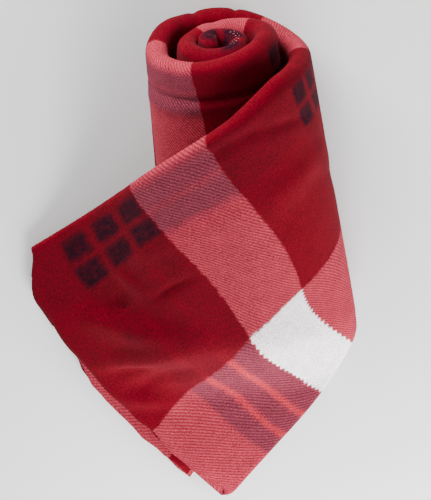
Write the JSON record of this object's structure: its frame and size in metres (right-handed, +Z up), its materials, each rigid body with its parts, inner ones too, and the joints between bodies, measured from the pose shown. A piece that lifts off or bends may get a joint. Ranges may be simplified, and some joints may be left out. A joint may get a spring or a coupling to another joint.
{
  "type": "throw blanket",
  "caption": "Brushed fleece plaid throw, folded in four into a long strip, rolled up, its free end laid out as a flap.",
  "frame": {"origin": "middle of the footprint, on the surface that the throw lies on", "axes": "+Y along the roll towards its folded end, +Z up, +X away from the side on which the flap is laid out"},
  "size_m": [0.3494, 0.605, 0.155],
  "materials": {
    "fleece": "brushed, matt"
  },
  "bodies": {
    "root": {"throw": "fleece"}
  },
  "joints": []
}
